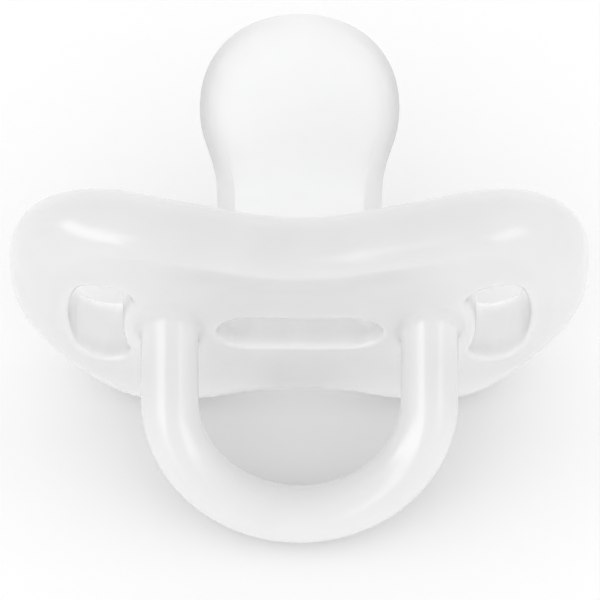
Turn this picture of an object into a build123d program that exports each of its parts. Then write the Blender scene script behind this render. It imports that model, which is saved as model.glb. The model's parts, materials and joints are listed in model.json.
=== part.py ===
"""Silicone soother (pacifier): a butterfly shield, a clear hollow orthodontic teat and a U-shaped ring handle.

Units are millimetres. +X runs along the shield's wings, +Y points to the mouth along the teat, +Z is up (nose side).
"Front" is the -Y side, away from the face, and "back" is the +Y side. The pieces are modelled with the origin at the
centre of the shield's back face, on the teat's axis, then moved so that the soother stands on z = 0 and is centred
along Y.

shield       thick soft guard, bent round the face, with a pillowed rim, a shallow front recess, two arc-slot vents,
             the mouth of the teat, a curved seat for the teat's root and two root pockets for the ring
teat         thin-walled teat: oval neck, wide flattened bulb, open root that seats in the shield's back
ring_handle  round cord bent to a U, two straight legs and a half-circle bow, with ball-ended roots
"""
from build123d import *
import math
import os

# ---------------------------------------------------------------- shield
SHIELD_BACK_R = 92.2        # radius of the back face, a vertical cylinder that follows the face
SHIELD_T = 5.6              # thickness at the rim crest
SHIELD_FRONT_R = SHIELD_BACK_R + SHIELD_T
RIM_FRONT_R = 3.2           # pillowed front edge
RIM_BACK_R = 1.8            # rounded back edge
BACK_EDGE_MIN_Y = -1.2      # centres of the back rim's edges lie behind this
FRONT_EDGE_MAX_Y = -3.2     # centres of the front rim's edges lie in front of this
# right half of the face-on outline, from top centre round to bottom centre (x, z)
OUTLINE_HALF = [
    (0.0, 15.0), (3.0, 15.25), (6.3, 16.15), (10.0, 17.15), (13.6, 17.85), (16.8, 17.65), (19.5, 16.3),
    (21.8, 13.9), (23.6, 10.6), (24.7, 6.8), (25.0, 2.6), (24.6, -2.2), (23.6, -6.0), (21.9, -9.2),
    (19.6, -12.3), (16.6, -15.0), (12.9, -16.25), (9.3, -15.95), (6.2, -14.5), (3.2, -13.05), (0.0, -12.55),
]
RECESS_INSET = 4.4          # from the outline in to the recess edge
RECESS_DEPTH = 1.1          # from the rim crest back to the recess floor
RECESS_FLOOR_R = SHIELD_FRONT_R - RECESS_DEPTH
# extents along Y of the blank and the cutters, clear of the shield on both sides
CUT_FRONT_Y = -12
CUT_BACK_Y = 12
RECESS_FRONT_Y = -14
# ---------------------------------------------------------------- vents: arc slots about the teat's axis
VENT_PATH_R = 17.6
VENT_W = 4.7
VENT_HALF_ANGLE = 16.8      # of the slot's centre line, degrees
# ---------------------------------------------------------------- teat mouth in the front of the shield
MOUTH_W = 14.3
MOUTH_H = 5.8
MOUTH_EDGE_R = 0.6          # softened front edge
# ---------------------------------------------------------------- teat
TEAT_TIP_Y = 25.15
BULB_Y = 16.4               # widest station
BULB_A = 8.6                # half width of the bulb
NECK_A = 7.12               # half width of the neck
WAIST_START_A = 7.5         # half width where the waist curve starts
# waist curve between its start and the bulb (half width, y)
WAIST = [
    (NECK_A + 0.12, 3.2), (NECK_A, 6.4), (NECK_A + 0.02, 9.0), (NECK_A + 0.30, 11.1),
    (7.92, 13.0), (8.40, 14.6), (BULB_A, BULB_Y),
]
TEAT_UP = 0.65              # height above the mid plane over half width
TEAT_DOWN = 0.52            # depth below the mid plane over half width
WALL_SIDE = 1.7
WALL_TIP = 1.5
CAVITY_UP = 0.60            # as TEAT_UP and TEAT_DOWN, for the cavity
CAVITY_DOWN = 0.44
CAVITY_START_Y = -6.0       # in front of the root, so that the root is open
TEAT_HINGE_Y = 1.4          # the teat bends about this line, parallel to X
TEAT_ROOT_R = 5.0           # radius of the barrel-shaped root about the hinge line
TEAT_ROOT_A = 7.6           # half width of the root
ROOT_END_R = 1.6            # radius of the root's flat ends
SEAT_GAP = 0.05             # clearance between the root and its seat
# ---------------------------------------------------------------- ring handle
RING_CORD_R = 2.5
RING_BOW_R = 11.22          # centre line of the bow, and half the spacing of the legs
RING_DROOP = 52.7           # angle of the ring's plane below horizontal, degrees
RING_PIVOT_Y = -5.4         # the ring bends about this line, parallel to X
RING_PIVOT_Z = -0.6
RING_LEG = 5.43             # pivot line to the bow's centre
RING_UP = 45.0              # travel of the flexing root, degrees
RING_DOWN = 20.0
POCKET_R = RING_CORD_R + 0.05   # cord plus running clearance
POCKET_SIDE_REACH = 22.0    # length of the pocket's upper and lower faces, well past the shield
POCKET_MID_REACH = 1.6 * POCKET_SIDE_REACH
# ---------------------------------------------------------------- placing
CENTRE_Y = 3.58             # middle of the whole soother along Y
FLOOR_Z = -16.345           # lowest point of the ring's bow


# ================================================================ shared shapes
def prism(edges, y0, y1):
    """Closed loop of edges at y0, extruded along Y to y1."""
    return extrude(Face(Wire(edges)), amount=y1 - y0, dir=(0, 1, 0))


def root_barrel(gap):
    """Barrel turned about the teat's hinge line, with small flat ends, enlarged all round by gap."""
    half_width, radius, end_r = TEAT_ROOT_A + gap, TEAT_ROOT_R + gap, ROOT_END_R + gap
    # half axis of the full ellipse, whose tips the flat ends cut off
    full_half = half_width / math.sqrt(1 - (end_r / radius) ** 2)
    start = math.degrees(math.asin(end_r / radius))
    angles = [math.radians(start + (180 - 2 * start) * i / 10) for i in range(11)]
    rim = Edge.make_spline([Vector(full_half * math.cos(t), -radius * math.sin(t), 0) for t in angles])
    axis_left, axis_right = Vector(-half_width, 0, 0), Vector(half_width, 0, 0)
    loop = [
        rim,
        Edge.make_line(rim @ 1, axis_left),
        Edge.make_line(axis_left, axis_right),
        Edge.make_line(axis_right, rim @ 0),
    ]
    return Pos(0, TEAT_HINGE_Y, 0) * revolve(Face(Wire(loop)), axis=Axis.X, revolution_arc=360)


def ring_heading(degrees_down):
    """Unit vector to the front, tilted below horizontal."""
    angle = math.radians(degrees_down)
    return Vector(0, -math.cos(angle), -math.sin(angle))


# ================================================================ ring handle
def make_ring_handle():
    heading = ring_heading(RING_DROOP)
    pivot = Vector(0, RING_PIVOT_Y, RING_PIVOT_Z)
    bow_centre = pivot + heading * RING_LEG
    left, right = Vector(-RING_BOW_R, 0, 0), Vector(RING_BOW_R, 0, 0)
    path = Wire([
        Edge.make_line(pivot + left, bow_centre + left),
        Edge.make_three_point_arc(bow_centre + left, bow_centre + heading * RING_BOW_R, bow_centre + right),
        Edge.make_line(bow_centre + right, pivot + right),
    ])
    section = Plane(origin=pivot + left, z_dir=heading) * Circle(RING_CORD_R)
    ring = sweep(section, path=path)
    for side in (left, right):
        ring += Pos(*(pivot + side)) * Sphere(RING_CORD_R)
    return ring


# ================================================================ teat
def teat_revolve(side_offset, start_y, tip_offset):
    """Round teat body, waist, bulb and domed tip, made smaller by the two offsets."""
    stations = [(WAIST_START_A, start_y)] + WAIST
    waist = Edge.make_spline(
        [Vector(half_width - side_offset, y, 0) for half_width, y in stations],
        tangents=[Vector(-0.10, 1, 0), Vector(0, 1, 0)],
    )
    dome_a = BULB_A - side_offset
    dome_b = TEAT_TIP_Y - tip_offset - BULB_Y
    angles = [math.radians(t) for t in range(0, 91, 15)]
    dome = Edge.make_spline(
        [Vector(dome_a * math.cos(t), BULB_Y + dome_b * math.sin(t), 0) for t in angles],
        tangents=[Vector(0, 1, 0), Vector(-1, 0, 0)],
    )
    tip = Vector(0, BULB_Y + dome_b, 0)
    base = Vector(0, start_y, 0)
    base_rim = Vector(WAIST_START_A - side_offset, start_y, 0)
    loop = [waist, dome, Edge.make_line(tip, base), Edge.make_line(base, base_rim)]
    return revolve(Face(Wire(loop)), axis=Axis.Y, revolution_arc=360)


def flattened(body, up, down):
    """Upper half scaled in Z by up and lower half by down; both keep the planform at z = 0."""
    box_height = 30
    half_space = Box(60, 80, box_height)
    upper = scale(body & (Pos(0, 0, box_height / 2) * half_space), by=(1, 1, up))
    lower = scale(body & (Pos(0, 0, -box_height / 2) * half_space), by=(1, 1, down))
    return upper + lower


def make_teat():
    outer = flattened(teat_revolve(0.0, TEAT_HINGE_Y, 0.0), TEAT_UP, TEAT_DOWN)
    cavity = flattened(teat_revolve(WALL_SIDE, CAVITY_START_Y, WALL_TIP), CAVITY_UP, CAVITY_DOWN)
    return (outer + root_barrel(0.0)) - cavity


# ================================================================ shield
def inset(points, distance):
    """Points of a clockwise closed polygon, moved inward along the local normal."""
    moved = []
    for i, (x, z) in enumerate(points):
        (x0, z0), (x1, z1) = points[i - 1], points[(i + 1) % len(points)]
        along_x, along_z = x1 - x0, z1 - z0
        length = math.hypot(along_x, along_z)
        moved.append((x + distance * along_z / length, z - distance * along_x / length))
    return moved


def plate(points, y0, y1):
    """Closed spline through (x, z) points, extruded from y0 to y1."""
    return prism([Edge.make_spline([Vector(x, y0, z) for x, z in points], periodic=True)], y0, y1)


def upright(radius):
    """Vertical cylinder on the axis shared by the shield's faces."""
    return Pos(0, SHIELD_BACK_R, 0) * Cylinder(radius, 80)


def vent(side):
    """Round-ended arc slot about the Y axis, on the +X side for side = 1 and the -X side for -1."""
    angle = math.radians(VENT_HALF_ANGLE)
    half_width = VENT_W / 2
    outer_r, inner_r = VENT_PATH_R + half_width, VENT_PATH_R - half_width

    def polar(radius, t):
        return Vector(side * radius * math.cos(t), CUT_FRONT_Y, radius * math.sin(t))

    def cap(end):
        """Furthest point of the round end, upper for end = 1 and lower for -1."""
        t = end * angle
        beyond = Vector(-side * math.sin(t), 0, math.cos(t)) * (half_width * end)
        return polar(VENT_PATH_R, t) + beyond

    edges = [
        Edge.make_three_point_arc(polar(outer_r, -angle), polar(outer_r, 0), polar(outer_r, angle)),
        Edge.make_three_point_arc(polar(outer_r, angle), cap(1), polar(inner_r, angle)),
        Edge.make_three_point_arc(polar(inner_r, angle), polar(inner_r, 0), polar(inner_r, -angle)),
        Edge.make_three_point_arc(polar(inner_r, -angle), cap(-1), polar(outer_r, -angle)),
    ]
    return prism(edges, CUT_FRONT_Y, CUT_BACK_Y)


def mouth():
    """Stadium-shaped opening, from the front through to the plane y = 0."""
    y = CUT_FRONT_Y
    r = MOUTH_H / 2
    straight = MOUTH_W / 2 - r
    edges = [
        Edge.make_line((-straight, y, r), (straight, y, r)),
        Edge.make_three_point_arc((straight, y, r), (straight + r, y, 0), (straight, y, -r)),
        Edge.make_line((straight, y, -r), (-straight, y, -r)),
        Edge.make_three_point_arc((-straight, y, -r), (-straight - r, y, 0), (-straight, y, r)),
    ]
    return prism(edges, y, 0)


def is_mouth_rim(edge):
    """True for an edge where the mouth meets the recess floor."""
    middle = edge @ 0.5
    floor_error = math.hypot(middle.X, middle.Y - SHIELD_BACK_R) - RECESS_FLOOR_R
    in_mouth = abs(middle.X) < MOUTH_W / 2 + 0.1 and abs(middle.Z) < MOUTH_H / 2 + 0.1
    return abs(floor_error) < 0.02 and edge.length > 2 and in_mouth


def ring_pocket(x):
    """Space that the ring's leg at x sweeps over its travel, plus clearance."""
    pivot = Vector(x - POCKET_R, RING_PIVOT_Y, RING_PIVOT_Z)
    up = ring_heading(RING_DROOP - RING_UP)
    down = ring_heading(RING_DROOP + RING_DOWN)
    middle = ring_heading(RING_DROOP + (RING_DOWN - RING_UP) / 2)
    top = pivot + Vector(0, up.Z, -up.Y) * POCKET_R
    bottom = pivot + Vector(0, -down.Z, down.Y) * POCKET_R
    corners = [
        pivot,
        top,
        top + up * POCKET_SIDE_REACH,
        pivot + middle * POCKET_MID_REACH,
        bottom + down * POCKET_SIDE_REACH,
        bottom,
    ]
    edges = [Edge.make_line(a, b) for a, b in zip(corners, corners[1:] + corners[:1])]
    wedge = extrude(Face(Wire(edges)), amount=2 * POCKET_R, dir=(1, 0, 0))
    return wedge + Pos(x, RING_PIVOT_Y, RING_PIVOT_Z) * Rot(0, 90, 0) * Cylinder(POCKET_R, 2 * POCKET_R)


def make_shield():
    outline = OUTLINE_HALF + [(-x, z) for x, z in reversed(OUTLINE_HALF[1:-1])]
    shield = plate(outline, CUT_FRONT_Y, CUT_BACK_Y) & upright(SHIELD_FRONT_R)
    shield -= upright(SHIELD_BACK_R)
    shield = fillet([e for e in shield.edges() if e.center().Y > BACK_EDGE_MIN_Y], RIM_BACK_R)
    shield = fillet([e for e in shield.edges() if e.center().Y < FRONT_EDGE_MAX_Y], RIM_FRONT_R)
    shield -= plate(inset(outline, RECESS_INSET), RECESS_FRONT_Y, CUT_BACK_Y) - upright(RECESS_FLOOR_R)

    for side in (-1, 1):
        shield -= vent(side)
    shield -= mouth()
    shield = fillet([e for e in shield.edges() if is_mouth_rim(e)], MOUTH_EDGE_R)

    shield -= root_barrel(SEAT_GAP)
    for side in (-1, 1):
        shield -= ring_pocket(side * RING_BOW_R)
    return shield


# ================================================================ export
os.makedirs("parts", exist_ok=True)
place = Pos(0, -CENTRE_Y, -FLOOR_Z)
pieces = {"shield": make_shield(), "teat": make_teat(), "ring_handle": make_ring_handle()}
for name, shape in pieces.items():
    export_step(place * shape, f"parts/{name}.step")
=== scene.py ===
"""Silicone soother: milky shield and ring handle moulded in one, clear hollow teat, white floor.

Shapes are worked out in millimetres in a local frame whose origin is the middle of the shield's
mouth-side face, on the teat's axis: +X along the wings, +Y to the mouth, +Z up. The shield's front
is its -Y face, its back the mouth-side one. `OFFSET` carries the local frame into the row frame.
"""
import json
import math

import bpy
import numpy as np
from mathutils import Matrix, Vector


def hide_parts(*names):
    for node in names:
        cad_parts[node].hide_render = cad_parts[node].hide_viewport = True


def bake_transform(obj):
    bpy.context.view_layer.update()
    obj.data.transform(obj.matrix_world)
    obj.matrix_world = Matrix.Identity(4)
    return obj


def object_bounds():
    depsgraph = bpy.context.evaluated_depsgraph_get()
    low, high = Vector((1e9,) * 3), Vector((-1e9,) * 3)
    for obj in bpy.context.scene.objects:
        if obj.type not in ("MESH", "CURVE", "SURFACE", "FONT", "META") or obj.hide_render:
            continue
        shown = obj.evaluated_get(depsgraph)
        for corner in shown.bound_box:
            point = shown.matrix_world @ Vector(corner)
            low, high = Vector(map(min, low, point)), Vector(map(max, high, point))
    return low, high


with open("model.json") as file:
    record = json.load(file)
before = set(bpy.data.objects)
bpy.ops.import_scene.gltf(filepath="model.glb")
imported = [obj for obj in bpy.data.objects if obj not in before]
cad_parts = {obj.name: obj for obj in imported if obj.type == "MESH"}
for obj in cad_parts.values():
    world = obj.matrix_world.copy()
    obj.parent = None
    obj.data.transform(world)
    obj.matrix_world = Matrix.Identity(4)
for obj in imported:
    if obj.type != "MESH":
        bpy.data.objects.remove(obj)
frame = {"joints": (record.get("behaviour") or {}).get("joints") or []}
CAD_LO, CAD_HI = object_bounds()
JOINTS = {joint["name"]: joint for joint in frame["joints"]}

MM = 0.001
TEAT_PIVOT = (0.0, 1.4, 0.0)
OFFSET = np.array(JOINTS["teat_flex"]["pos_m"]) * 1000 - np.array(TEAT_PIVOT)
RING_PIVOT = np.array(JOINTS["ring_flex"]["pos_m"]) * 1000 - OFFSET


# ---------------------------------------------------------------- fields: negative inside
def round_intersection(a, b, radius):
    """Intersection of two fields with a round edge."""
    outside = np.hypot(np.maximum(a + radius, 0), np.maximum(b + radius, 0))
    return np.minimum(-radius, np.maximum(a, b)) + outside


def round_union(a, b, radius):
    """Union of two fields with a round fillet."""
    inside = np.hypot(np.maximum(radius - a, 0), np.maximum(radius - b, 0))
    return np.maximum(radius, np.minimum(a, b)) - inside


def smooth(value, start, end):
    """Cubic step from 0 at start to 1 at end."""
    t = np.clip((value - start) / (end - start), 0, 1)
    return t * t * (3 - 2 * t)


def smoother(value, start, end):
    """Quintic step from 0 at start to 1 at end."""
    t = np.clip((value - start) / (end - start), 0, 1)
    return t * t * t * (t * (6 * t - 15) + 10)


def bell(value, width, power=2):
    """1 at zero, falling off over the width."""
    return np.exp(-((value / width) ** power))


# ---------------------------------------------------------------- shield outline
# (x, z) of the +X half, from the top of the middle round to the bottom
HALF_OUTLINE = [
    (0, 15.0), (2.0, 15.05), (3.0, 15.17), (3.9, 15.44), (4.9, 15.84), (6.1, 16.20), (7.2, 16.5),
    (8.2, 16.7), (9.3, 16.9), (10.7, 17.2), (12.1, 17.5), (13.5, 17.75), (15.1, 17.85),
    (16.9, 17.6), (18.4, 16.95), (19.5, 16.3), (20.6, 15.4), (21.6, 14.3), (22.5, 12.9),
    (23.3, 11.4), (23.8, 10.1), (24.35, 8.3), (24.6, 7.1), (24.85, 5.2), (24.95, 3.9),
    (24.98, 1.9), (24.96, -0.3), (24.9, -1.7), (24.7, -2.9), (24.45, -4.0), (24.06, -5.2),
    (23.6, -6.2), (23.15, -7.1), (22.6, -8.1), (21.9, -9.2), (21.2, -10.2), (20.5, -11.15),
    (19.9, -11.95), (19.25, -12.7), (18.5, -13.5), (17.5, -14.45), (16.5, -15.2), (15.5, -15.75),
    (14.5, -16.05), (13.2, -16.25), (11.6, -16.2), (10.1, -15.95), (8.7, -15.5), (7.3, -14.95),
    (6.2, -14.45), (5.15, -13.85), (4.2, -13.35), (3.4, -13.0), (2.6, -12.8), (1.8, -12.68),
    (0, -12.6),
]
OUTLINE_COUNT = 640
OUTLINE_BLUR = 0.75                     # sigma of the smoothing along the outline
GRID_X, GRID_Z, GRID_STEP = -29.0, -20.5, 0.2
GRID_NX, GRID_NZ = 291, 211


def closed_outline():
    """Evenly spaced, slightly smoothed closed outline, (n, 2)."""
    half = np.array(HALF_OUTLINE, float)
    points = np.vstack([half, half[-2:0:-1] * (-1, 1)])
    loop = np.vstack([points, points[:1]])
    lengths = np.hypot(*np.diff(loop, axis=0).T)
    along = np.concatenate([[0], np.cumsum(lengths)])
    even = np.linspace(0, along[-1], OUTLINE_COUNT, endpoint=False)
    frequency = np.fft.fftfreq(OUTLINE_COUNT, d=along[-1] / OUTLINE_COUNT)
    keep = np.exp(-0.5 * (2 * np.pi * frequency * OUTLINE_BLUR) ** 2)
    columns = [np.interp(even, along, loop[:, i]) for i in (0, 1)]
    return np.stack([np.fft.ifft(np.fft.fft(column) * keep).real for column in columns], 1)


def outline_grid():
    """Signed distance to the outline on a grid."""
    grid_x = GRID_X + GRID_STEP * np.arange(GRID_NX)
    grid_z = GRID_Z + GRID_STEP * np.arange(GRID_NZ)
    x, z = [a.ravel() for a in np.meshgrid(grid_x, grid_z, indexing="ij")]
    outline = closed_outline()
    nearest = np.full(x.shape, 1e9)
    inside = np.zeros(x.shape, bool)
    for (x0, z0), (x1, z1) in zip(outline, np.roll(outline, -1, axis=0)):
        dx, dz = x1 - x0, z1 - z0
        t = np.clip(((x - x0) * dx + (z - z0) * dz) / (dx * dx + dz * dz), 0, 1)
        nearest = np.minimum(nearest, (x - x0 - t * dx) ** 2 + (z - z0 - t * dz) ** 2)
        if z0 != z1:
            inside ^= ((z0 > z) != (z1 > z)) & (x < dx * (z - z0) / dz + x0)
    distance = np.sqrt(nearest)
    return np.where(inside, -distance, distance).reshape(GRID_NX, GRID_NZ)


OUTLINE_DISTANCE = outline_grid()


def cubic_weights(t):
    """Catmull-Rom weights of the four neighbours."""
    return (
        ((-0.5 * t + 1.0) * t - 0.5) * t,
        (1.5 * t - 2.5) * t * t + 1.0,
        ((-1.5 * t + 2.0) * t + 0.5) * t,
        (0.5 * t - 0.5) * t * t,
    )


def outline_field(x, z):
    # held off the border, so that all four neighbours lie on the grid
    column = np.clip((x - GRID_X) / GRID_STEP, 1, GRID_NX - 2.001)
    row = np.clip((z - GRID_Z) / GRID_STEP, 1, GRID_NZ - 2.001)
    ix, iz = column.astype(int), row.astype(int)
    weights_x, weights_z = cubic_weights(column - ix), cubic_weights(row - iz)
    total = 0.0
    for i in range(4):
        for j in range(4):
            near = OUTLINE_DISTANCE[ix + i - 1, iz + j - 1]
            total = total + weights_x[i] * weights_z[j] * near
    return total


# ---------------------------------------------------------------- shield and ring
THICK = 5.6                             # at the rim's crest
BACK_RADIUS = 92.2                      # the back follows this vertical cylinder
SWEEP_LIMIT = 40                        # |x| beyond which the sweep stays level
FRONT_ROUND, BACK_ROUND = 3.4, 1.8
CREST_DIP, CREST_DIP_WIDTH = 0.30, 12.0  # the crest is lower by this around the middle
RECESS = 0.65                           # the front face lies this far behind the crest
RECESS_SLOPE = (0.8, 7.8)               # from the outline inwards
RECESS_LOSS, RECESS_FADE = 0.78, (5.5, 13.0)    # share lost towards the wings, over |x|
# the recess is filled in proportion to the sweep, up to a limit
FILL, FILL_WIDTH, FILL_SWEEP, FILL_LIMIT = 0.42, 13.5, 0.66, 0.55

# each wing's vent is an arc about the teat's axis
VENT_RADIUS, VENT_HALF_WIDTH = 17.6, 2.35
VENT_TOP, VENT_LOW = math.radians(16.6), math.radians(-14.4)
VENT_LIP, VENT_LIP_GAIN, VENT_LIP_RISE = 0.32, 0.5, (-3.0, 6.0)     # the lip grows over z

# the slot, an oblong channel at the teat's mouth, narrows towards the teat
SLOT_Z, SLOT_HALF_LENGTH, SLOT_HALF_HEIGHT = -0.1, 7.15, 2.88
SLOT_NARROWING = (-3.6, -0.6)           # over y
SLOT_HEIGHT_LOSS, SLOT_REACH_LOSS = 0.55, 0.95
SLOT_LIP = 0.30

BOW_RADIUS, CORD_RADIUS, LEG_LENGTH = 11.22, 2.5, 5.43
LEG_START = -4.5                        # measured from the pivot, into the shield
DROOP = math.radians(52.7)              # of the ring below the -Y direction
RING_FILLET = 0.55


def sweep(x):
    """How far the wings lie back towards the face."""
    return BACK_RADIUS - np.sqrt(BACK_RADIUS**2 - np.minimum(np.abs(x), SWEEP_LIMIT) ** 2)


def shield_field(x, y, z):
    edge = outline_field(x, z)
    back = y - sweep(x)
    crest = sweep(x) - THICK + CREST_DIP * bell(x, CREST_DIP_WIDTH, 4)
    inner = smoother(-edge, *RECESS_SLOPE)
    fill = FILL * bell(x, FILL_WIDTH, 4) * (sweep(x) / FILL_SWEEP)
    depth = RECESS * (1 - RECESS_LOSS * smooth(np.abs(x), *RECESS_FADE))
    front_y = crest + (depth - np.minimum(fill, FILL_LIMIT) * depth / RECESS) * inner
    field = round_intersection(edge, back, BACK_ROUND)
    return round_intersection(field, front_y - y, FRONT_ROUND)


def vent_field(x, z):
    side = np.abs(x)
    angle = np.arctan2(z, side)
    radius = np.hypot(side, z)
    end = np.clip(angle, VENT_LOW, VENT_TOP)
    to_end = np.hypot(side - VENT_RADIUS * np.cos(end), z - VENT_RADIUS * np.sin(end))
    beside = (angle > VENT_LOW) & (angle < VENT_TOP)
    return np.where(beside, np.abs(radius - VENT_RADIUS), to_end) - VENT_HALF_WIDTH


def slot_field(x, y, z):
    narrow = smooth(y, *SLOT_NARROWING)
    half_height = SLOT_HALF_HEIGHT - SLOT_HEIGHT_LOSS * narrow
    reach = SLOT_HALF_LENGTH - SLOT_HALF_HEIGHT - SLOT_REACH_LOSS * narrow
    return np.hypot(np.maximum(np.abs(x) - reach, 0), z - SLOT_Z) - half_height


def ring_field(x, y, z):
    """Two straight legs and a half-round bow, of round cord."""
    dy, dz = y - RING_PIVOT[1], z - RING_PIVOT[2]
    along = -dy * math.cos(DROOP) - dz * math.sin(DROOP)
    across = -dy * math.sin(DROOP) + dz * math.cos(DROOP)
    leg = np.abs(np.abs(x) - BOW_RADIUS)
    bow = np.abs(np.hypot(x, along - LEG_LENGTH) - BOW_RADIUS)
    leg_or_end = np.where(along > LEG_START, leg, np.hypot(leg, along - LEG_START))
    return np.hypot(np.where(along > LEG_LENGTH, bow, leg_or_end), across) - CORD_RADIUS


def milky_field(x, y, z):
    field = round_union(shield_field(x, y, z), ring_field(x, y, z), RING_FILLET)
    vent_lip = VENT_LIP + VENT_LIP_GAIN * smooth(z, *VENT_LIP_RISE)
    field = round_intersection(field, -vent_field(x, z), vent_lip)
    return round_intersection(field, -slot_field(x, y, z), SLOT_LIP)


# ---------------------------------------------------------------- surface nets
GRADIENT_STEP = 0.02
MIN_SLOPE = 0.05                        # floor of the squared gradient
MAX_MOVE = 0.15                         # per round of drawing in
RELAX_SHARE = 0.5


def grid_crossings(values):
    """Per cell: how many edges cross zero, and the summed crossings from the cell's corner."""
    negative = values < 0
    cells = tuple(n - 1 for n in values.shape)
    count = np.zeros(cells, np.float32)
    sums = [np.zeros(cells, np.float32) for _ in range(3)]
    for axis in range(3):
        first, second = [i for i in range(3) if i != axis]
        near, far = [slice(None)] * 3, [slice(None)] * 3
        near[axis], far[axis] = slice(0, -1), slice(1, None)
        near, far = tuple(near), tuple(far)
        crossing = negative[near] != negative[far]
        change = np.where(crossing, values[near] - values[far], 1)
        fraction = np.where(crossing, values[near] / change, 0)
        for du in (0, 1):
            for dv in (0, 1):
                window = [slice(None)] * 3
                window[first] = slice(du, du + cells[first])
                window[second] = slice(dv, dv + cells[second])
                hit = crossing[tuple(window)]
                count += hit
                sums[axis] += np.where(hit, fraction[tuple(window)], 0)
                sums[first] += hit * du
                sums[second] += hit * dv
    return count, sums


def net_quads(negative, index):
    """One quad round each grid edge that crosses zero, facing outwards."""
    quads = []
    for axis in range(3):
        u, v = [(1, 2), (2, 0), (0, 1)][axis]
        near, far = [slice(1, -1)] * 3, [slice(1, -1)] * 3
        near[axis], far[axis] = slice(0, -1), slice(1, None)
        near, far = negative[tuple(near)], negative[tuple(far)]
        for crossing, flip in ((near & ~far, False), (~near & far, True)):
            edges = np.argwhere(crossing)
            if not len(edges):
                continue
            edges = edges + [0 if i == axis else 1 for i in range(3)]
            corners = []
            for du, dv in ((-1, -1), (0, -1), (0, 0), (-1, 0)):
                cell = edges.copy()
                cell[:, u] += du
                cell[:, v] += dv
                corners.append(index[cell[:, 0], cell[:, 1], cell[:, 2]])
            quad = np.stack(corners, 1)
            quads.append(quad[:, ::-1] if flip else quad)
    return np.concatenate(quads)


def surface_net(field, low, high, step):
    """Quad mesh near the zero level of the field."""
    lines = [np.arange(start, end + step, step) for start, end in zip(low, high)]
    values = field(lines[0][:, None, None], lines[1][None, :, None], lines[2][None, None, :])
    values = values.astype(np.float32)
    count, sums = grid_crossings(values)
    used = count > 0
    index = np.full(count.shape, -1, np.int64)
    index[used] = np.arange(used.sum())
    cells = np.argwhere(used)
    verts = np.stack(
        [lines[i][cells[:, i]] + step * sums[i][used] / count[used] for i in range(3)], 1
    )
    return verts, net_quads(values < 0, index)


def gradient(field, points):
    result = np.empty_like(points)
    for i in range(3):
        shift = np.zeros(3)
        shift[i] = GRADIENT_STEP
        change = field(*(points + shift).T) - field(*(points - shift).T)
        result[:, i] = change / (2 * GRADIENT_STEP)
    return result


def draw_in(field, points, rounds):
    """Draws points onto the zero level."""
    for _ in range(rounds):
        slope = gradient(field, points)
        squared = np.maximum((slope * slope).sum(1), MIN_SLOPE)
        move = -(field(*points.T) / squared)[:, None] * slope
        size = np.linalg.norm(move, axis=1, keepdims=True)
        points = points + move * np.minimum(1, MAX_MOVE / np.maximum(size, 1e-9))
    return points


def relax(field, points, quads, rounds):
    """Evens the quads out along the surface."""
    for _ in range(rounds):
        total = np.zeros_like(points)
        count = np.zeros(len(points))
        for i in range(4):
            for j in ((i + 1) % 4, (i + 3) % 4):
                np.add.at(total, quads[:, i], points[quads[:, j]])
                np.add.at(count, quads[:, i], 1)
        move = total / count[:, None] - points
        normal = gradient(field, points)
        normal /= np.maximum(np.linalg.norm(normal, axis=1, keepdims=True), 1e-9)
        move -= (move * normal).sum(1, keepdims=True) * normal
        points = draw_in(field, points + RELAX_SHARE * move, rounds=1)
    return points


# ---------------------------------------------------------------- objects
def make_object(name, verts_mm, faces, material):
    mesh = bpy.data.meshes.new(name)
    verts = (verts_mm + OFFSET) * MM
    mesh.from_pydata([tuple(v) for v in verts], [], [tuple(int(i) for i in f) for f in faces])
    mesh.validate()
    mesh.update()
    mesh.shade_smooth()
    obj = bpy.data.objects.new(name, mesh)
    bpy.context.scene.collection.objects.link(obj)
    obj.data.materials.append(material)
    return obj


def add_attribute(obj, name, values):
    layer = obj.data.attributes.new(name, "FLOAT", "POINT")
    layer.data.foreach_set("value", values.astype(np.float32))


def axis_point(y):
    """Point of the teat's axis, in the row frame's metres."""
    return tuple((np.array([0, y, 0]) + OFFSET) * MM)


NET_LOW, NET_HIGH = (-25.6, -18.9, -17.0), (25.6, 4.2, 18.9)
NET_STEP, NET_STEP_QUICK = 0.3, 0.5

# Painted light and shade of the milky body, as a vertex attribute: amounts, and where they set in
# (ranges over -y, -z or |x|).
BOW_PAINTED_LIGHT, BOW_FROM = 0.055, (7.5, 13.0)         # painted light: the ring's bow is paler than its legs
BOW_LOW_LOSS, BOW_LOW = 0.5, (12.5, 15.5)       # and less so at its lowest
LOW_RIM_PAINTED_LIGHT, LOW_FROM, LOW_UNTIL = 0.065, (8.0, 13.0), (5.0, 7.5)      # painted light on the shield's lower rim
WING_PAINTED_LIGHT, WING_FROM, WING_UNTIL = 0.028, (8.0, 17.0), (6.0, 7.5)
# painted shade darkens the rims of vents and slot in front, the slot's channel behind that
RIM_PAINTED_SHADE, RIM_UNTIL, RIM_DEPTH = 0.055, (6.2, 7.2), (0.9, 2.4)
VENT_RIM_WIDTH, SLOT_RIM_WIDTH, SLOT_RIM_SHARE = 0.6, 0.7, 0.8
CHANNEL_PAINTED_SHADE = 0.055


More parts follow.
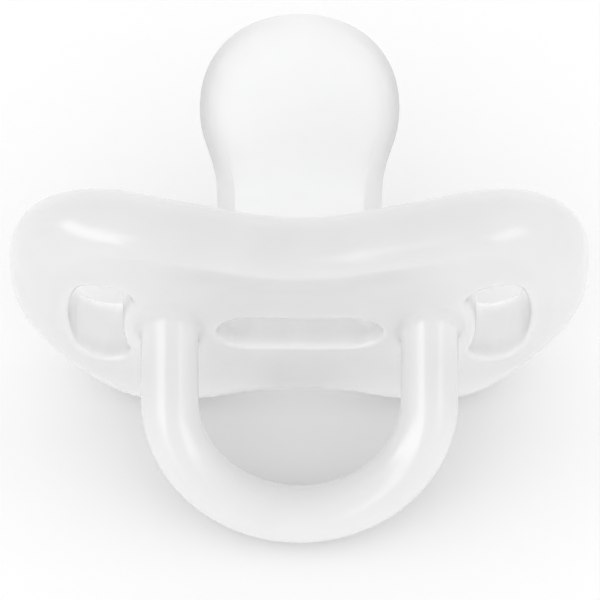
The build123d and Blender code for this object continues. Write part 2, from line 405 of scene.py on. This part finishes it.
# painted light and shade of the milky body, stored per vertex
def milky_painted_light_and_shade(x, y, z):
    near_front = 1 - smooth(y - (sweep(x) - THICK), *RIM_DEPTH)
    slot_rim = bell(slot_field(x, y, z), SLOT_RIM_WIDTH)
    rims = bell(vent_field(x, z), VENT_RIM_WIDTH) + SLOT_RIM_SHARE * slot_rim
    painted_light_and_shade = BOW_PAINTED_LIGHT * smooth(-y, *BOW_FROM) * (1 - BOW_LOW_LOSS * smooth(-z, *BOW_LOW))
    painted_light_and_shade = painted_light_and_shade + LOW_RIM_PAINTED_LIGHT * smooth(-z, *LOW_FROM) * (1 - smooth(-y, *LOW_UNTIL))
    painted_light_and_shade = painted_light_and_shade - RIM_PAINTED_SHADE * rims * near_front * (1 - smooth(-y, *RIM_UNTIL))
    painted_light_and_shade = painted_light_and_shade - CHANNEL_PAINTED_SHADE * slot_rim * (1 - near_front)
    return painted_light_and_shade + WING_PAINTED_LIGHT * smooth(np.abs(x), *WING_FROM) * (1 - smooth(-y, *WING_UNTIL))


def build_shield_and_ring(material):
    step = NET_STEP
    verts, quads = surface_net(milky_field, NET_LOW, NET_HIGH, step)
    verts = draw_in(milky_field, verts, rounds=3)
    verts = relax(milky_field, verts, quads, rounds=3)
    verts = draw_in(milky_field, verts, rounds=2)
    obj = make_object("shield_and_ring", verts, quads, material)
    # painted light and shade, read by the milky material's emission
    add_attribute(obj, "painted_light_and_shade", milky_painted_light_and_shade(*verts.T))
    return obj


# ---------------------------------------------------------------- teat
# (y, half width) of the neck, up to the bulb's widest place
HALF_WIDTHS = [
    (-1.6, 7.30), (0.0, 7.24), (2.0, 7.18), (5.0, 7.12), (8.1, 7.12), (10.0, 7.20), (10.7, 7.33),
    (11.5, 7.50), (12.25, 7.70), (13.0, 7.94), (13.8, 8.19), (14.5, 8.40), (15.3, 8.55),
    (16.1, 8.64), (16.8, 8.66),
]
ROOT_Y, BULB_Y, TIP_Y = -1.3, HALF_WIDTHS[-1][0], 25.40
DOME_POWER = 2.22
SECTION_POWER = 2.06                    # superellipse of the cross-section
HEIGHT_UP, HEIGHT_DOWN = 0.645, 0.52    # of the section, as shares of the half width
WALL_SIDE, WALL_FLAT, WALL_TIP = 1.52, 1.35, 0.85   # flat: above and below
WALL_LOSS, WALL_THINNING = 0.16, (9.0, 15.0)    # share lost towards the bulb, over y
FULL_WALL_WIDTH = 5.0                   # half width below which the walls thin in proportion
SECTION_COUNT, NECK_COUNT, DOME_COUNT = 128, 70, 44
DOME_SPACING = 0.92                     # exponent that spreads the dome's stations

# painted shade: greying of the outer face towards its edge, little along the neck, most round the
# bulb
SHADE_NECK, SHADE_GAIN, SHADE_RISE = 0.22, 0.78, (8.0, 13.5)
# haze and caught light, the caught light painted as an emission seen by the camera: on the cavity's
# face along the neck, on the outer face round the bulb
BULB_RISE = (6.5, 14.0)
HAZE_OUT, HAZE_BULB, HAZE_IN = 0.20, 0.02, 0.235
PAINTED_CAUGHT_IN, PAINTED_CAUGHT_BULB = 0.36, 0.175


def smoothed_half_widths():
    """Fine resample of HALF_WIDTHS under a Gaussian: (y values, half widths)."""
    table_y, table_width = np.array(HALF_WIDTHS).T
    fine_y = np.linspace(table_y[0] - 2, table_y[-1], 600)
    widths = np.interp(fine_y, table_y, table_width)
    pad = 40
    mirrored = 2 * widths[-1] - widths[-2:-pad - 2:-1]
    padded = np.concatenate([np.full(pad, widths[0]), widths, mirrored])
    kernel = np.exp(-0.5 * (np.arange(-30, 31) / 11.0) ** 2)
    kernel /= kernel.sum()
    return fine_y, np.convolve(padded, kernel, mode="same")[pad:-pad]


NECK_Y, NECK_HALF_WIDTH = smoothed_half_widths()


def teat_half_width(y, tip):
    if y <= BULB_Y:
        return np.interp(y, NECK_Y, NECK_HALF_WIDTH)
    t = (y - BULB_Y) / (tip - BULB_Y)
    return NECK_HALF_WIDTH[-1] * (1 - t**DOME_POWER) ** (1 / DOME_POWER)


def teat_stations(tip):
    """The y of each cross-section, from the root up to just short of the tip."""
    neck = np.linspace(ROOT_Y, BULB_Y, NECK_COUNT, endpoint=False)
    angles = np.linspace(0, math.pi / 2, DOME_COUNT)[:-1]
    return np.concatenate([neck, BULB_Y + (tip - BULB_Y) * np.sin(angles) ** DOME_SPACING])


def teat_section(y, half_width, up, down):
    """Closed section in the plane at y, reaching up and down from the axis."""
    angles = 2 * math.pi * np.arange(SECTION_COUNT) / SECTION_COUNT
    cos, sin = np.cos(angles), np.sin(angles)
    x = half_width * np.sign(cos) * np.abs(cos) ** (2 / SECTION_POWER)
    z = np.where(sin > 0, up, down) * np.sign(sin) * np.abs(sin) ** (2 / SECTION_POWER)
    return np.stack([x, np.full(SECTION_COUNT, y), z], 1)


def build_teat(material):
    """Outer wall from root to tip, then the cavity's wall from tip to root."""
    n = SECTION_COUNT
    tip_in_y = TIP_Y - WALL_TIP
    rings = []
    for y in teat_stations(TIP_Y):
        width = teat_half_width(y, TIP_Y)
        rings.append(teat_section(y, width, HEIGHT_UP * width, HEIGHT_DOWN * width))
    outer = len(rings)
    for y in teat_stations(tip_in_y)[::-1]:
        width = teat_half_width(y, tip_in_y)
        share = 1 - WALL_LOSS * smooth(y, *WALL_THINNING)
        share *= min(1.0, width / FULL_WALL_WIDTH)
        up, down = (h * width - WALL_FLAT * share for h in (HEIGHT_UP, HEIGHT_DOWN))
        rings.append(teat_section(y, width - WALL_SIDE * share, up, down))
    total = len(rings)
    tip, tip_in = total * n, total * n + 1
    verts = np.concatenate(rings + [[(0, TIP_Y, 0.0), (0, tip_in_y, 0.0)]])

    pairs = [(k, (k + 1) % n) for k in range(n)]

    def band(i, j):
        return [(j * n + a, j * n + b, i * n + b, i * n + a) for a, b in pairs]

    faces = []
    for i in range(outer - 1):
        faces += band(i, i + 1)
    faces += [(tip, (outer - 1) * n + b, (outer - 1) * n + a) for a, b in pairs]
    faces += [(outer * n + a, outer * n + b, tip_in) for a, b in pairs]
    for i in range(outer, total - 1):
        faces += band(i, i + 1)
    faces += band(total - 1, 0)         # joins the two walls at the open root
    obj = make_object("teat_clear", verts, faces, material)

    y = verts[:, 1]
    hollow = np.zeros(len(verts), bool)
    hollow[outer * n:total * n] = True
    hollow[tip_in] = True
    bulb = smooth(y, *BULB_RISE)
    shade = np.where(hollow, 0.0, SHADE_NECK + SHADE_GAIN * smooth(y, *SHADE_RISE))
    haze = np.where(hollow, HAZE_IN * (1 - bulb), HAZE_OUT + HAZE_BULB * bulb)
    add_attribute(obj, "shade", shade)
    add_attribute(obj, "haze", haze)
    add_attribute(obj, "painted_caught_light", np.where(hollow, PAINTED_CAUGHT_IN, PAINTED_CAUGHT_BULB * bulb))
    return obj


# ---------------------------------------------------------------- node helper
class Graph:
    """Fills an emptied node tree; an input takes a value or another node's socket."""

    def __init__(self, owner):
        owner.use_nodes = True
        self.nodes, self.links = owner.node_tree.nodes, owner.node_tree.links
        self.nodes.clear()

    def node(self, kind, inputs=None, **settings):
        node = self.nodes.new("ShaderNode" + kind)
        for key, setting in settings.items():
            setattr(node, key, setting)
        for key, value in (inputs or {}).items():
            if isinstance(value, bpy.types.NodeSocket):
                self.links.new(value, node.inputs[key])
            else:
                node.inputs[key].default_value = value
        return node

    def value(self, kind, inputs=None, output=0, **settings):
        return self.node(kind, inputs, **settings).outputs[output]

    def math(self, operation, *values, **settings):
        return self.value("Math", dict(enumerate(values)), operation=operation, **settings)

    def add(self, a, b):
        return self.math("ADD", a, b)

    def subtract(self, a, b):
        return self.math("SUBTRACT", a, b)

    def multiply(self, a, b, **settings):
        return self.math("MULTIPLY", a, b, **settings)

    def power(self, base, exponent):
        return self.math("POWER", base, exponent)

    def noise(self, vector, scale, detail):
        inputs = {"Vector": vector, "Scale": scale, "Detail": detail}
        return self.value("TexNoise", inputs, "Fac")

    def ramp(self, factor, stops):
        """Colour ramp; stops are (position, colour) in rising order."""
        node = self.node("ValToRGB", {"Fac": factor})
        elements = node.color_ramp.elements
        for element, (position, colour) in zip(elements, (stops[0], stops[-1])):
            element.position = position
            element.color = colour
        for position, colour in stops[1:-1]:
            elements.new(position).color = colour
        return node.outputs["Color"]

    def bump(self, height, strength):
        inputs = {"Height": height, "Strength": strength, "Distance": 0.00003}
        return self.value("Bump", inputs)

    def map_range(self, value, low, high):
        inputs = {"Value": value, "To Min": low, "To Max": high}
        return self.value("MapRange", inputs, "Result")

    def facing(self):
        """0 where the surface faces the eye, 1 at its edge."""
        return self.value("LayerWeight", {"Blend": 0.5}, "Facing")

    def attribute(self, name):
        return self.value("Attribute", output="Fac", attribute_name=name)

    def mix(self, factor, first, second):
        return self.value("MixShader", {0: factor, 1: first, 2: second})


def grey(level):
    return (level, level, level, 1)


# ---------------------------------------------------------------- materials
# Painted light: an emission stands in for light that has wandered all through the milky body, and
# evens its tone.
PAINTED_INNER_LIGHT = 0.316                     # everywhere
HOLLOW_PAINTED_LIGHT, HOLLOW_POWER = 0.42, 1.3  # painted light, more in the hollows
UNDER_PAINTED_LIGHT = 0.02                      # painted light, more underneath, less on top
TURNED_EDGE_PAINTED_SHADE, EDGE_POWER = 0.58, 3.0       # painted shade: share of the painted light lost where the surface turns away
OTHER_RAYS = 0.3                        # share of it seen by rays other than the camera's


def milky_painted_emission(graph):
    """Strength of the painted inner light, an emission."""
    camera_ray = graph.value("LightPath", output="Is Camera Ray")
    openness = graph.value(
        "AmbientOcclusion", {"Distance": 0.008}, "AO", samples=4, only_local=True
    )
    facing = graph.facing()
    hollow = graph.power(graph.subtract(1.0, openness), HOLLOW_POWER)
    normal = graph.value("NewGeometry", output="Normal")
    normal_z = graph.value("SeparateXYZ", {0: normal}, "Z")
    level = graph.add(graph.multiply(hollow, HOLLOW_PAINTED_LIGHT), PAINTED_INNER_LIGHT)
    level = graph.subtract(level, graph.multiply(normal_z, UNDER_PAINTED_LIGHT))
    # painted light and shade from the vertex attribute
    level = graph.add(level, graph.attribute("painted_light_and_shade"))
    edge = graph.multiply(graph.power(facing, EDGE_POWER), TURNED_EDGE_PAINTED_SHADE)
    level = graph.multiply(level, graph.subtract(1.0, edge))
    seen = graph.add(graph.multiply(camera_ray, 1 - OTHER_RAYS), OTHER_RAYS)
    return graph.multiply(level, seen)


def milky_material():
    material = bpy.data.materials.new("milky_silicone")
    graph = Graph(material)
    position = graph.value("TexCoord", output="Object")
    clouding = graph.noise(position, scale=160.0, detail=3.0)
    colour = graph.ramp(
        clouding, [(0.30, (0.444, 0.445, 0.447, 1)), (0.72, (0.464, 0.465, 0.466, 1))]
    )
    # fine moulded grain over a slow wave, seen as slightly broken highlights
    grain = graph.noise(position, scale=5200.0, detail=2.0)
    wave = graph.noise(position, scale=420.0, detail=1.0)
    grain_share = 0.16
    height = graph.math("MULTIPLY_ADD", grain, grain_share, wave)
    body = graph.value("BsdfPrincipled", {
        "Base Color": colour,
        "Normal": graph.bump(height, strength=0.30),
        "Roughness": graph.map_range(wave, low=0.20, high=0.25),
        "IOR": 1.41,
        "Specular IOR Level": 0.5,
        "Subsurface Weight": 1.0,
        "Subsurface Radius": (1.0, 1.0, 1.0),
        "Subsurface Scale": 0.003,
        # painted light: the emission that evens the milky tone
        "Emission Strength": milky_painted_emission(graph),
        "Emission Color": grey(1.0),
    })
    graph.node("OutputMaterial", {"Surface": body})
    return material


ABSORPTION = 1.6                        # per metre of clear silicone
# (facing, greying) of the clear wall, a painted shade: by the angle to the eye
CLEAR_WALL_PAINTED_SHADE = [
    (0.18, 0), (0.28, 0.060), (0.37, 0.125), (0.52, 0.175), (0.68, 0.195), (1.0, 0.205),
]
SIDE_POWER, SIDE_SHARE, TIP_SHARE = 1.6, 0.86, 0.14     # the painted greying is more at the sides
HAZE_LOSS = 0.05                        # light lost to the haze
VEIL_OUT_PAINTED_GREY, VEIL_IN_GAIN = 0.87, 0.13     # painted shade: the outer face's haze is greyer than the cavity's
CAVITY_EDGE_LOSS, CAVITY_EDGE_POWER = 0.5, 3.0  # haze the cavity's face loses at its edge
GLOSS, GLOSS_EDGE, GLOSS_POWER = 0.028, 0.22, 5.0
TINT = (0.998, 0.999, 1.0)


def clear_material():
    """Clear, faintly hazy wall: light goes straight through, and the outer face greys with painted
    shade where it turns away to a side; the haze carries painted light for the camera."""
    material = bpy.data.materials.new("clear_silicone")
    graph = Graph(material)
    add, subtract, multiply, power = graph.add, graph.subtract, graph.multiply, graph.power

    def tinted(level):
        channels = {i: multiply(level, share) for i, share in enumerate(TINT)}
        return graph.value("CombineColor", channels)

    position = graph.value("TexCoord", output="Object")
    ripple = graph.noise(position, scale=260.0, detail=1.5)
    normal = graph.bump(ripple, strength=0.10)

    facing = graph.facing()
    # painted shade at the wall's edge, by facing
    painted_grey_ramp = graph.ramp(facing, [(at, grey(level)) for at, level in CLEAR_WALL_PAINTED_SHADE])
    geometry = graph.node("NewGeometry")
    normal_x = graph.value("SeparateXYZ", {0: geometry.outputs["Normal"]}, "X")
    sideways = power(graph.math("ABSOLUTE", normal_x, 0.0), SIDE_POWER)
    sideways = add(multiply(sideways, SIDE_SHARE), TIP_SHARE)
    shade = graph.attribute("shade")
    painted_grey = multiply(multiply(painted_grey_ramp, sideways), shade)
    haze = graph.attribute("haze")
    light = subtract(subtract(1.0, multiply(haze, HAZE_LOSS)), painted_grey)
    outer = graph.math("GREATER_THAN", shade, 0.01)     # the cavity's face has no shade
    inner = subtract(1.0, outer)
    through = graph.value("BsdfTransparent", {"Color": tinted(light)})

    # haze, with painted light, seen by camera rays only, for the light that is caught between the
    # walls
    veil = tinted(multiply(light, add(multiply(inner, VEIL_IN_GAIN), VEIL_OUT_PAINTED_GREY)))
    diffuse = graph.value("BsdfDiffuse", {"Color": veil})
    translucent = graph.value("BsdfTranslucent", {"Color": veil})
    camera_ray = graph.value("LightPath", output="Is Camera Ray")
    painted_caught_light = multiply(graph.attribute("painted_caught_light"), camera_ray)
    # painted light: emission seen only by camera rays
    lit = graph.value("Emission", {"Strength": painted_caught_light})
    hazy = graph.value("AddShader", {0: graph.mix(0.5, diffuse, translucent), 1: lit})
    edge = multiply(power(facing, CAVITY_EDGE_POWER), multiply(inner, CAVITY_EDGE_LOSS))
    kept = subtract(1.0, edge)
    clouding = graph.map_range(ripple, low=0.97, high=1.03)
    wall = graph.mix(multiply(multiply(haze, kept), clouding), through, hazy)

    # sheen, on the front of the outer face only
    sheen = graph.value("BsdfGlossy", {"Roughness": 0.16, "Normal": normal})
    front = subtract(1.0, geometry.outputs["Backfacing"])
    gloss = add(multiply(power(facing, GLOSS_POWER), GLOSS_EDGE), GLOSS)
    skin = graph.mix(multiply(multiply(gloss, front), outer), wall, sheen)

    # shadow rays pass as through a thin clear wall
    shadow_ray = graph.value("LightPath", output="Is Shadow Ray")
    clear = graph.value("BsdfTransparent", {"Color": grey(0.992)})
    # long ways through the silicone go grey
    absorption = graph.value("VolumeAbsorption", {"Color": grey(0.0), "Density": ABSORPTION})
    surface = graph.mix(shadow_ray, skin, clear)
    graph.node("OutputMaterial", {"Surface": surface, "Volume": absorption})
    return material


def floor_material():
    material = bpy.data.materials.new("studio_floor")
    graph = Graph(material)
    body = graph.value("BsdfPrincipled", {
        "Base Color": grey(0.965), "Roughness": 0.8, "Specular IOR Level": 0.1,
    })
    graph.node("OutputMaterial", {"Surface": body})
    return material


# ---------------------------------------------------------------- build
# y ranges given for the ring and the teat; their end points on the axis are worked out but not used
RING_BLEND = (RING_PIVOT[1] - 0.35, RING_PIVOT[1] - 4.2)
TEAT_BLEND = (0.2, 6.5)

milky = milky_material()
clear_silicone = clear_material()

shield_ring = build_shield_and_ring(milky)
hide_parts("shield", "ring_handle")
start, end = map(axis_point, RING_BLEND)
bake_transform(shield_ring)
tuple(start)
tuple(end)

teat = build_teat(clear_silicone)
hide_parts("teat")
start, end = map(axis_point, TEAT_BLEND)
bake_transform(teat)
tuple(start)
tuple(end)

# ---------------------------------------------------------------- floor and tent
FLOOR_SIZE, FLOOR_GAP = 4.0, 0.00002    # metres; the gap is below the soother

bpy.ops.mesh.primitive_plane_add(size=FLOOR_SIZE, location=(0, 0, CAD_LO.z - FLOOR_GAP))
floor = bpy.context.object
floor.name = "studio_floor"
floor.data.materials.append(floor_material())

# A white tent, its walls lit unevenly: brightness of its low wall and of its shoulder (both round
# from the camera's side, to the right), and of its top.
TENT_LOW = [1.08, 1.09, 1.12, 1.06, 1.03, 1.06, 1.14, 1.12]
TENT_MID = [1.19, 1.07, 0.90, 1.11]
TENT_TOP = 1.06
# elevations, in degrees, up to which the low wall is pure, of the shoulder, and of the pure top
LOW_LIFT, MID_LIFT, TOP_LIFT = 10.0, 40.0, 80.0


def build_world():
    world = bpy.data.worlds.new("studio")
    bpy.context.scene.world = world
    graph = Graph(world)
    math_node, subtract, multiply = graph.math, graph.subtract, graph.multiply
    direction = graph.value("TexCoord", output="Generated")
    split = graph.node("SeparateXYZ", {0: direction})
    lift = multiply(math_node("ARCSINE", split.outputs["Z"]), 180 / math.pi)
    turn = math_node("ARCTAN2", split.outputs["X"], multiply(split.outputs["Y"], -1.0))

    def rise(low, high):
        return math_node("DIVIDE", subtract(lift, low), high - low, use_clamp=True)

    low_share = subtract(1.0, rise(LOW_LIFT, MID_LIFT))
    top_share = rise(MID_LIFT, TOP_LIFT)
    mid_share = subtract(subtract(1.0, low_share), top_share)
    total = multiply(top_share, TENT_TOP, name="tent_top_0")
    for row, row_share, levels in (("low", low_share, TENT_LOW), ("mid", mid_share, TENT_MID)):
        width = 2 * math.pi / len(levels)
        for i, level in enumerate(levels):
            wrapped = math_node("WRAP", subtract(turn, i * width), math.pi, -math.pi)
            away = math_node("DIVIDE", math_node("ABSOLUTE", wrapped), width)
            share = math_node("SUBTRACT", 1.0, away, use_clamp=True)
            part = multiply(multiply(share, row_share), level, name=f"tent_{row}_{i}")
            total = graph.add(total, part)
    background = graph.value("Background", {"Strength": total, "Color": grey(1)})
    graph.node("OutputWorld", {0: background})


build_world()

# ---------------------------------------------------------------- lights
LIGHT_TARGET = Vector((0.0, 0.0, 0.012))


def soft_box(name, azimuth, elevation, distance, size, radiance, diffuse=False):
    """Area light that faces the soother; azimuth 0 is the camera's side, positive to the right."""
    turn, lift = math.radians(azimuth), math.radians(elevation)
    direction = Vector((
        math.sin(turn) * math.cos(lift), -math.cos(turn) * math.cos(lift), math.sin(lift),
    ))
    width, height = size
    data = bpy.data.lights.new(name, "AREA")
    data.shape = "RECTANGLE"
    data.size, data.size_y = size
    data.energy = radiance * math.pi * width * height
    light = bpy.data.objects.new(name, data)
    light.location = LIGHT_TARGET + direction * distance
    light.rotation_mode = "QUATERNION"
    light.rotation_quaternion = (-direction).to_track_quat("-Z", "Y")
    light.visible_camera = False
    light.visible_diffuse = diffuse
    bpy.context.scene.collection.objects.link(light)


soft_box("softbox_left", azimuth=-50, elevation=9, distance=0.60, size=(0.78, 0.22), radiance=4.3)
soft_box("softbox_upper", azimuth=-30, elevation=26, distance=0.60, size=(0.44, 0.14), radiance=2.8)
soft_box("softbox_right", azimuth=48, elevation=9, distance=0.60, size=(0.36, 0.22), radiance=3.0)
soft_box("overhead", azimuth=-50, elevation=66, distance=0.80, size=(0.50, 0.50), radiance=0.10,
         diffuse=True)

# ---------------------------------------------------------------- camera
ELEVATION = math.radians(65.0)
DISTANCE = 1.600
VIEW_WIDTH = 0.05178                    # metres across the picture, at the shield
AIM_RIGHT, AIM_UP = 0.00003452, 0.0012082   # metres from the shield's middle
SENSOR_WIDTH = 36.0

cam_data = bpy.data.cameras.new("camera")
cam = bpy.data.objects.new("camera", cam_data)
bpy.context.scene.collection.objects.link(cam)
bpy.context.scene.camera = cam
forward = Vector((0, math.cos(ELEVATION), -math.sin(ELEVATION)))
image_up = Vector((0, math.sin(ELEVATION), math.cos(ELEVATION)))
shield_middle = Vector(((OFFSET + (0, -THICK / 2, 0)) * MM).tolist())
target = shield_middle + image_up * AIM_UP + Vector((AIM_RIGHT, 0, 0))
cam.location = target - forward * DISTANCE
cam.rotation_mode = "QUATERNION"
cam.rotation_quaternion = forward.to_track_quat("-Z", "Y")
cam_data.sensor_width = SENSOR_WIDTH
cam_data.lens = SENSOR_WIDTH * DISTANCE / VIEW_WIDTH
cam_data.clip_start, cam_data.clip_end = 0.01, 20.0

scene = bpy.context.scene
scene.view_settings.view_transform = "Standard"
scene.view_settings.look = "None"
scene.cycles.use_denoising = True
